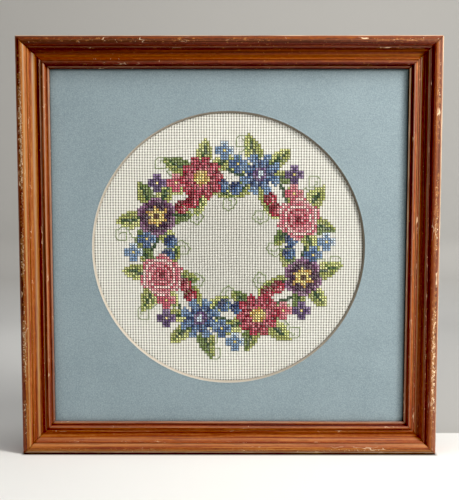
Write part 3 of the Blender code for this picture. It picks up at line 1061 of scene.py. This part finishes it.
def cornflower(across, along):
    """Eight toothed blue rays round a violet heart."""
    distance, lobe = petals(across, along, 8)
    if distance > 7.8 or (distance > 4.8 and lobe < 0.48):
        return None
    if distance < 1.3:
        return "ice"
    if distance < 2.7:
        return "violet" if lobe > 0.6 else "lilac"
    if lobe < 0.5:
        return "navy"
    return "sky" if distance > 6.1 or lobe >= 0.93 else "blue"


def dahlia(across, along):
    """Ten crimson petals with a gold button."""
    distance, lobe = petals(across, along, 10)
    edge = 8.2 * (0.80 + 0.22 * lobe)
    if distance > edge:
        return None
    if distance < 1.6:
        return "yellow"
    if distance < 2.8:
        return "gold" if lobe > 0.5 else "yellow"
    if distance < 4.8:
        return "rose" if lobe < 0.835 else "wine"
    if lobe < 0.42:
        return "wine"
    return "rose" if lobe > 0.86 and distance <= edge - 1.1 else "crimson"


def primrose(across, along):
    """Six broad plum petals with pale rims, and a gold star at the heart."""
    distance, lobe = petals(across, along, 6)
    edge = 7.4 * (0.80 + 0.20 * lobe ** 0.6)
    if distance > edge:
        return None
    if distance < 1.25:
        return "brown"
    if distance < 1.8 + 1.6 * lobe ** 3:
        return "yellow"
    if distance < 2.5 + 1.8 * lobe ** 3:
        return "gold"
    if lobe < 0.30:
        return "plum"
    if distance > edge - 1.15:
        return "mauve"
    return "grape" if distance > 4.9 else "plum"


HEADS = ((rosette, "roses"), (cornflower, "cornflowers"), (dahlia, "dahlias"), (primrose, "primroses"))
print("flower heads:", [name for head, name in HEADS])

# %% [markdown]
# Leaves, florets and berries come in several sizes and colours, so these are functions that return a motif.

# %% Draw leaves, florets and berries
def leaf(length, width, blade, rim):
    """A pointed leaf from its stalk: a dark midrib, a lit half and a shaded half."""
    def colour_at(across, along):
        reach = along / length
        if reach < 0 or reach > 1:
            return None
        half = width / 2 * sin(pi * reach ** 0.8) ** 0.75
        if abs(across) > half + 0.3:
            return None
        if abs(across) < 0.5 and reach < 0.78:
            return "dark green"
        if (along - abs(across)) % 4.0 < 0.8 and abs(across) < half - 0.6:
            return "leaf green"
        return rim if across > 0 else blade
    return colour_at


def floret(main, tip):
    """A forget-me-not of four round petals about a yellow eye."""
    def colour_at(across, along):
        distance, lobe = petals(across, along, 4)
        if distance < 0.8:
            return "yellow"
        if distance > 2.3 + 1.1 * lobe:
            return None
        return tip if distance > 2.0 and across + along > -0.5 else main
    return colour_at


def berry(main, shine, shade):
    """A round berry with a shine on one side and shade on the other."""
    def colour_at(across, along):
        if hypot(across, along) > 2.3:
            return None
        if hypot(across + 0.7, along - 0.9) < 0.8:
            return shine
        return shade if across - along > 0.9 else main
    return colour_at


def snapped(place):
    """Small motifs look best when their middle is a whole square."""
    return (round(place[0]), round(place[1]))


print("small motifs ready")

# %% [markdown]
# The ring has eight flower heads at even angles, four kinds in turn. Six leaves spread from under each
# head, and pairs of florets and berries fill the spaces between, florets outside and berries inside.

# %% Lay the ring
HEAD_COUNT = 8
RING_RADIUS = 28.5
LEAF_SPREAD = ((34, 11.5, 6.2), (-36, 10.5, 5.6), (84, 9.5, 5.2), (-82, 10.0, 5.0), (146, 10.0, 5.2),
               (-150, 9.5, 5.0))
LEAF_START = 4
HEAD_SHIFTS = (-0.6, 1.0)
STALK_STEPS = 720
STALK_WAVE = 1.6
# Each space has its fillings at these angles from its middle and distances from the ring's centre.
FLORET_PLACES = ((3.5, 36.5), (-6.0, 31.5))
BERRY_PLACES = ((-5.5, 22.5), (6.5, 23.5))
FLORET_TONES = (("sky", "ice"), ("violet", "lilac"), ("blue", "sky"), ("rose", "pink"))
BERRY_TONES = (("blue", "sky", "navy"), ("crimson", "pink", "wine"))


def head_place(index):
    angle = 360 / HEAD_COUNT * (index + 0.5)
    return angle, ring_point(angle, RING_RADIUS + HEAD_SHIFTS[index % 2])


def lay_leaves(index):
    angle, centre = head_place(index)
    lean = 6 if index % 3 else -5
    for turn, length, width in LEAF_SPREAD:
        way = angle + turn + lean
        out = ring_point(way, LEAF_START)
        stalk = (centre[0] + out[0], centre[1] + out[1])
        tones = ("moss", "lime") if (index + turn) % 3 else ("leaf green", "moss")
        bunch = "outer_leaves" if abs(turn) < 60 else "inner_leaves"
        lay_motif(bunch, stalk, way, length + 1, leaf(length, width, *tones))


def lay_fillings(index):
    angle = 360 / HEAD_COUNT * index
    warm = index % 2
    for number, (swing, radius) in enumerate(FLORET_PLACES):
        motif = floret(*FLORET_TONES[2 * number + warm])
        lay_motif("florets", snapped(ring_point(angle + swing, radius)), 0, 5, motif)
    for swing, radius in BERRY_PLACES:
        lay_motif("berries", snapped(ring_point(angle + swing, radius)), 0, 4, berry(*BERRY_TONES[warm]))


for step in range(STALK_STEPS):
    angle = 360 * step / STALK_STEPS
    place = ring_point(angle, RING_RADIUS + STALK_WAVE * sin(radians(angle * HEAD_COUNT)))
    chart[snapped(place)] = ("dark green", "inner_leaves")
for lay in (lay_leaves, lay_fillings):
    for index in range(HEAD_COUNT):
        lay(index)
for index in range(HEAD_COUNT):
    angle, centre = head_place(index)
    head, bunch = HEADS[index % len(HEADS)]
    lay_motif(bunch, centre, angle, 10, head)
bunches = sorted({bunch for colour, bunch in chart.values()})
print(len(chart), "crosses in", bunches)

# %% [markdown]
# ## The stitches
# Each cross is two slanting legs of floss, the second always over the first the same way, which is what
# makes a good sampler look even. A leg is two strands side by side. It rises from one hole, lies flat over
# the block, and goes down the opposite hole. Instances suit this well: the tree makes each leg once, puts it
# on every charted square with a little unevenness, and makes the copies real at the end. The floss colour
# carries painted light: painted brightest, with a pale painted highlight, where a leg crowns over its
# block, and painted dark with shade where it dips into a hole.

# %% Mix the floss
def floss_finish():
    made = new_finish("stranded cotton floss", Roughness=0.55, Specular_IOR_Level=0.30, Sheen_Weight=0.10,
                      Sheen_Roughness=0.4)
    fibres = noise(object_place(made), 5200.0)
    crown, shade = (attribute(made, name) for name in ("crown", "shade"))
    # Painted shade towards the holes and painted light over the crown, times each stitch's own tone.
    painted_light_gain = limits(crown, 0.40, 0.97, 0.36, 2.05) * (shade * 0.40 + fibres * 0.20 + 0.72)
    # Painted highlight: the crown blends towards a pale colour.
    crown_highlight = limits(crown * shade, 0.40, 0.9, 0.0, 0.55)
    tone = blend(crown_highlight, attribute(made, "tint", "Color") * painted_light_gain, (0.80, 0.78, 0.72))
    return coated(made, Base_Color=tone, Normal=bumped(fibres, 0.5, 0.06 * MM))


floss = floss_finish()
print("finish:", floss.name)

# %% Plan the cross stitch
LEG_REACH = 0.93      # of the half diagonal of a square


def floss_leg(given, lift, steps):
    """Two strands along X over one block. Height is towards -Y, and the ends go down into the holes."""
    tree = given["Strand"].tree
    along = parts(position(tree))[0]
    fourth = abs(along) ** 4.0
    crown = 1.0 - abs(along) ** 1.5
    points = store(even_points(tree, steps + 1), "crown", crown)
    height = (1.0 - fourth) * given["Rise"] + (crown * lift - given["Sink"])
    x = along * (given["Pitch"] * (0.5 * sqrt(2) * LEG_REACH))
    profile = round_profile(tree, given["Strand"], 5)
    join = add(tree, "GeometryNodeJoinGeometry")
    for side in (-0.5, 0.5):
        gap = given["Spacing"] * side * (fourth * -0.7 + 1.0)
        strand = moved(points, Position=combine(tree, x, height * -1.0, gap))
        feed(join.inputs[0], swept(strand, profile))
    return Value(join.outputs[0])


def random_vector(seed, low, high):
    """Three random numbers for each stitch, between two limits."""
    keys = {"Min": low, "Max": high, "Seed": seed}
    return result(seed.tree, "FunctionNodeRandomValue", keys, data_type="FLOAT_VECTOR")


def stitch_tree():
    tree, given = new_tree("cross stitches", "Pitch, Strand, Spacing, Rise, Sink, Lift", Seed="Int",
                           Floss="Material")
    points = moved(given["Geometry"], Offset=drift(position(tree)))
    join = add(tree, "GeometryNodeJoinGeometry")
    for number, (slant, lift, steps) in enumerate(((-pi / 4, 0.0, 3), (pi / 4, given["Lift"], 4))):
        seed = given["Seed"] + float(number * 17)
        shade = result(tree, "FunctionNodeRandomValue", {"Seed": seed}, 1, data_type="FLOAT")
        keys = {"Points": store(points, "shade", shade), "Instance": floss_leg(given, lift, steps),
                "Rotation": random_vector(seed, (-0.02, -0.07, -0.02), (0.02, 0.07, 0.02)) + (0, slant, 0),
                "Scale": random_vector(seed, (0.97, 0.9, 0.9), (1.03, 1.1, 1.1))}
        feed(join.inputs[0], result(tree, "GeometryNodeInstanceOnPoints", keys))
    return end_tree(Value(join.outputs[0]), given["Floss"])


cross_stitcher = stitch_tree()
print("nodes in the stitches' tree:", len(cross_stitcher.nodes))

# %% Sew the crosses
def hole_place(column, row):
    return (WINDOW_CENTRE[0] + column * PITCH, CLOTH_FRONT_Y, WINDOW_CENTRE[1] + row * PITCH)


def tinted(mesh, colours):
    """Stores each point's floss colour, and returns the mesh."""
    tints = [part for colour in colours for part in (*linear(FLOSS[colour]), 1.0)]
    mesh.attributes.new("tint", "FLOAT_COLOR", "POINT").data.foreach_set("color", tints)
    return mesh


def bunch_points(bunch):
    """A mesh of loose points, one in the middle of each of the bunch's squares."""
    rows = [(square, colour) for square, (colour, owner) in sorted(chart.items()) if owner == bunch]
    mesh = bpy.data.meshes.new(bunch)
    mesh.from_pydata([hole_place(column + 0.5, row + 0.5) for (column, row), colour in rows], [], [])
    return tinted(mesh, [colour for square, colour in rows])


def shade_under(mesh):
    """Marks the cloth that lies between the legs of the crosses, where little light reaches."""
    places = np.empty(len(mesh.vertices) * 3)
    mesh.vertices.foreach_get("co", places)
    places = places.reshape(-1, 3)
    columns = np.floor((places[:, 0] - WINDOW_CENTRE[0]) / PITCH).astype(int)
    rows = np.floor((places[:, 2] - WINDOW_CENTRE[1]) / PITCH).astype(int)
    covered = [square in chart for square in zip(columns, rows)]
    write_numbers(mesh, "covered", covered)
    print("cloth points in the stitches' shade:", sum(covered))


shade_under(cloth.data)
stitched = []
for number, bunch in enumerate(bunches):
    stitched.append(grown("stitched_" + bunch, cross_stitcher, bunch_points(bunch),
                          {"Pitch": PITCH, "Strand": 0.155 * MM, "Spacing": 0.27 * MM, "Rise": 0.42 * MM,
                           "Sink": 0.30 * MM, "Lift": 0.20 * MM, "Seed": number, "Floss": floss}))

# %% [markdown]
# Thin tendrils in backstitch grow between the heads, each a stalk with a curl at its end. Backstitch is
# one strand that runs from hole to hole, so each tendril is a curve rounded to the nearest holes, and each
# step between two holes becomes one short stitch. Here the incoming mesh is loose edges, and the tree
# turns every edge into a strand.

# %% Sew the tendrils
CURL_REACH = 11.5
CURL_RADIUS = 3.4
CURL_TURNS = 1.5
CURL_CLOSING = 0.72      # the share of its radius that a curl loses by its end
CURL_STEPS = 40
STALK_START = 4


def backstitch_tree():
    tree, given = new_tree("backstitches", "Strand, Rise, Sink", Floss="Material")
    lines = result(tree, "GeometryNodeMeshToCurve", {0: given["Geometry"]})
    lines = result(tree, "GeometryNodeResampleCurve", {"Curve": lines, "Count": 5})
    arch = 1.0 - abs(result(tree, "GeometryNodeSplineParameter") * 2.0 - 1.0) ** 4.0
    lines = moved(lines, Offset=drift(position(tree)))
    lines = moved(lines, Offset=combine(tree, 0.0, given["Sink"] - arch * given["Rise"], 0.0))
    return end_tree(swept(lines, round_profile(tree, given["Strand"], 6)), given["Floss"])


def tendril_holes(angle, hand):
    """The holes of a stalk and its curl, outwards from the ring, or inwards where hand is negative."""
    holes = [snapped(ring_point(angle, RING_RADIUS + hand * STALK_START))]
    curl_middle = ring_point(angle, RING_RADIUS + hand * CURL_REACH)
    for step in range(CURL_STEPS):
        along = step / (CURL_STEPS - 1)
        turn = radians(angle + 180) + 2 * pi * CURL_TURNS * along * hand
        radius = CURL_RADIUS * (1 - CURL_CLOSING * along)
        if hand < 0:
            turn += pi
        hole = snapped((curl_middle[0] + radius * cos(turn), curl_middle[1] + radius * sin(turn)))
        if holes[-1] != hole:
            holes.append(hole)
    return holes


def tendril_mesh():
    """Loose edges, one for each backstitch of the tendrils outside and inside the ring."""
    places = []
    for index in range(HEAD_COUNT):
        for hand, aside in ((1, -7), (-1, 1)):
            holes = tendril_holes(360 / HEAD_COUNT * index + aside, hand)
            for pair in zip(holes, holes[1:]):
                places += [hole_place(*hole) for hole in pair]
    mesh = bpy.data.meshes.new("tendrils")
    mesh.from_pydata(places, [(start, start + 1) for start in range(0, len(places), 2)], [])
    write_numbers(mesh, "shade", [0.5] * len(places))
    write_numbers(mesh, "crown", [0.6] * len(places))
    return tinted(mesh, ["leaf green"] * len(places))


stitched.append(grown("stitched_tendrils", backstitch_tree(), tendril_mesh(),
                      {"Strand": 0.23 * MM, "Rise": 0.40 * MM, "Sink": 0.22 * MM, "Floss": floss}))
for piece in stitched:
    piece.data.shade_smooth()
    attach(piece, "root")
print("floss pieces:", [piece.name for piece in stitched])

# %% [markdown]
# ## The back
# The hardboard and the steel points that hold it already have the right shape, so the CAD pieces stay and
# only take a finish. Hardboard is pressed fibre: brown, smooth and flecked. The points are thin bright steel
# with a light rub.

# %% Finish the board and the points
def hardboard_finish():
    made = new_finish("brown hardboard", Roughness=0.78, Specular_IOR_Level=0.3)
    place = object_place(made)
    fibres = noise(place * (900.0, 900.0, 240.0), detail=4.0, roughness=0.65)
    flecks = noise(place, 1400.0, 1.0)
    cloudy = noise(place, 16.0, 3.0)
    tone = blend(limits(cloudy, 0.3, 0.7), (0.235, 0.140, 0.075), (0.33, 0.215, 0.125))
    tone = blend(limits(fibres, 0.45, 0.7, 0.0, 0.5), tone, (0.44, 0.30, 0.18))
    tone = blend(limits(flecks, 0.62, 0.70, 0.0, 0.6), tone, (0.10, 0.055, 0.03))
    return coated(made, Base_Color=tone, Normal=bumped(fibres, 0.35, 0.2 * MM))


def point_steel_finish():
    made = new_finish("framer's point steel", Metallic=1.0)
    rubbed_and_shine = noise(object_place(made) * (300.0, 300.0, 5200.0))
    return coated(made, Base_Color=blend(rubbed_and_shine, (0.44, 0.43, 0.42), (0.66, 0.66, 0.67)),
                  Roughness=limits(rubbed_and_shine, 0.3, 0.7, 0.28, 0.50), Normal=bumped(rubbed_and_shine, 0.2, 0.1 * MM))


steel = point_steel_finish()
back_finishes = {"backing_board": hardboard_finish()}
back_finishes.update(("framer_point_%d" % number, steel) for number in range(1, 9))
for node, finish in back_finishes.items():
    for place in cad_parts[node].material_slots:
        place.material = finish
print("finished at the back:", len(back_finishes))

# %% Finish
bpy.context.view_layer.update()
